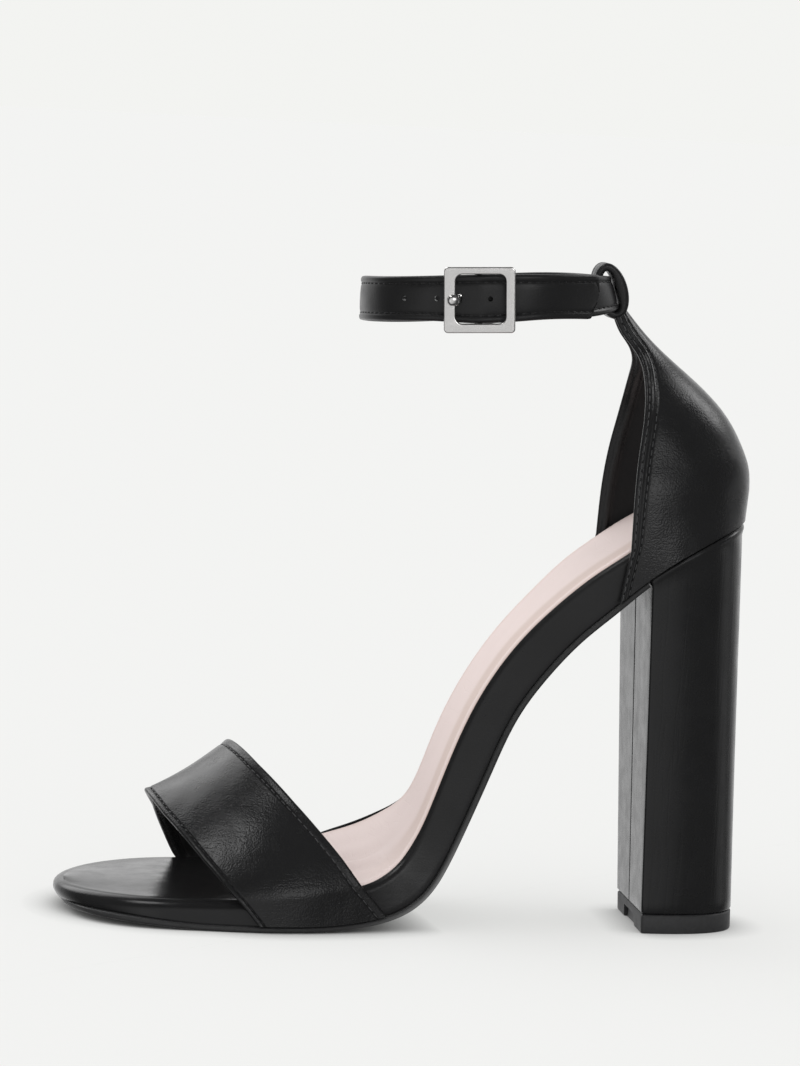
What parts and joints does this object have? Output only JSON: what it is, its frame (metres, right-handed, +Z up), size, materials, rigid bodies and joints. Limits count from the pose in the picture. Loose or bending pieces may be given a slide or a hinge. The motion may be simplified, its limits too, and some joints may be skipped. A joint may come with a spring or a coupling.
{
  "type": "ankle strap heel",
  "caption": "Women's open sandal on a tall block heel, with a wide toe band, a closed heel cup and a buckled ankle strap. Left shoe, standing empty.",
  "frame": {"origin": "on the floor, under the middle of the shoe's box", "axes": "-X towards the toe, +X towards the heel, -Y the little-toe side with the buckle, +Y the big-toe side, +Z up"},
  "size_m": [0.2008, 0.0822, 0.1941],
  "materials": {
    "sole_rubber": "satin dark grey sheet rubber",
    "platform_leather": "satin black cover",
    "toe_cover_leather": "smooth black cover with a soft shine",
    "sock_leather": "matt nude pink lining",
    "upper_leather": "satin black with a fine grain",
    "strap_leather": "satin black",
    "buckle_metal": "polished silver",
    "heel_leather": "smooth satin black cover",
    "top_piece_rubber": "matt dark grey"
  },
  "bodies": {
    "root": {"outsole": "sole_rubber", "platform": "platform_leather", "toe_insole": "toe_cover_leather", "insole": "sock_leather", "vamp_band": "upper_leather", "heel_counter": "upper_leather", "strap_loop": "strap_leather", "ankle_strap": "strap_leather", "buckle_frame": "buckle_metal", "buckle_prong": "buckle_metal", "heel_block": "heel_leather", "heel_top_piece": "top_piece_rubber"}
  },
  "joints": []
}
